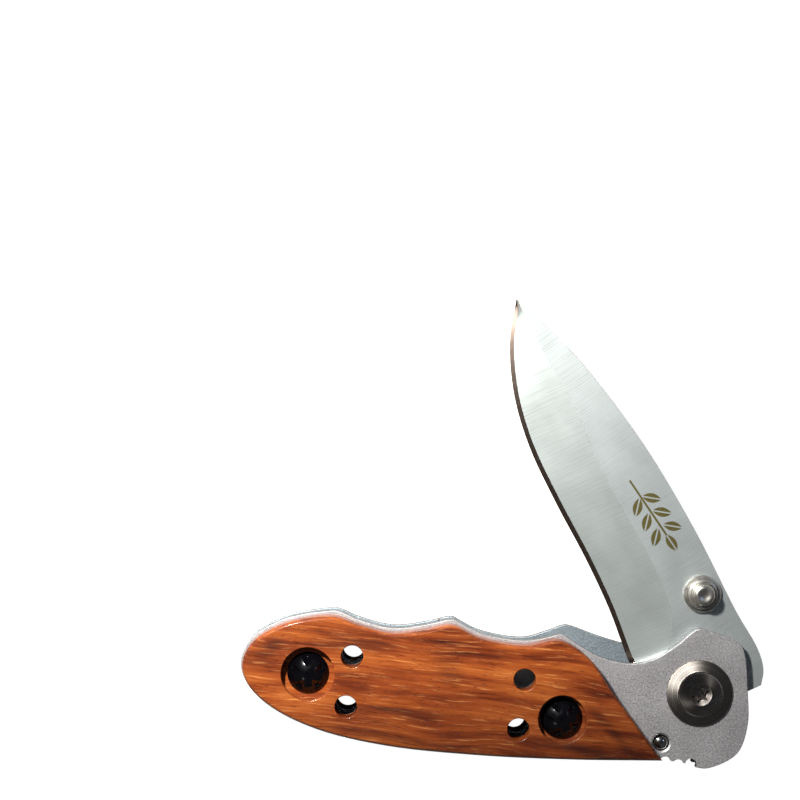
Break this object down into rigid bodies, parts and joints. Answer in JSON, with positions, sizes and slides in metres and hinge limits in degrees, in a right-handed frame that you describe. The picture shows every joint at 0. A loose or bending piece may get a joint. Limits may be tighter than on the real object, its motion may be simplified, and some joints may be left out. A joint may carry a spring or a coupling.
{
  "type": "grafting knife",
  "caption": "Folding grafting knife with a drop-point blade, wooden scales on steel liners, a thumb stud and a liner lock, stored half open.",
  "frame": {"origin": "on the blade's pivot axis, in the plane of the back scale's outer face that the knife lies on", "axes": "+X from the tail to the pivot, +Y towards the slot that the blade folds into, +Z out of the side with the thumb stud"},
  "size_m": [0.0932, 0.0834, 0.013],
  "materials": {
    "rosewood": "satin, oiled and polished",
    "liner_steel": "stonewashed, matt",
    "blade_steel": "satin, brushed across the blade",
    "black_steel": "glossy black",
    "turned_steel": "turned",
    "polished_steel": "polished",
    "dark_steel": "darkened, satin",
    "washer_bronze": "smooth",
    "spacer_black": "matt"
  },
  "bodies": {
    "handle": {"front_scale": "rosewood", "back_scale": "rosewood", "front_liner": "liner_steel", "back_liner": "liner_steel", "backspacer": "spacer_black", "pivot_screw": "turned_steel", "pivot_barrel": "turned_steel", "front_washer": "washer_bronze", "back_washer": "washer_bronze", "stop_pin": "polished_steel", "front_tail_screw": "black_steel", "front_middle_screw": "black_steel", "back_tail_screw": "black_steel", "back_middle_screw": "black_steel", "front_spacer_screws": "dark_steel", "back_spacer_screws": "dark_steel"},
    "blade": {"blade": "blade_steel", "thumb_stud": "polished_steel", "thumb_stud_screw": "dark_steel"},
    "lock_leaf": {"lock_leaf": "liner_steel", "detent_ball": "polished_steel"}
  },
  "joints": [
    {"name": "blade_pivot", "type": "hinge", "parent": "handle", "child": "blade", "pos_m": [0, 0, 0.0065], "axis": [0, 0, 1], "range_deg": [-124, 56]},
    {"name": "lock_leaf_flex", "type": "hinge", "parent": "handle", "child": "lock_leaf", "pos_m": [-0.046, 0.005, 0.00425], "axis": [0, 1, 0], "range_deg": [0, 0.9], "stiffness_Nm_per_rad": 5}
  ]
}
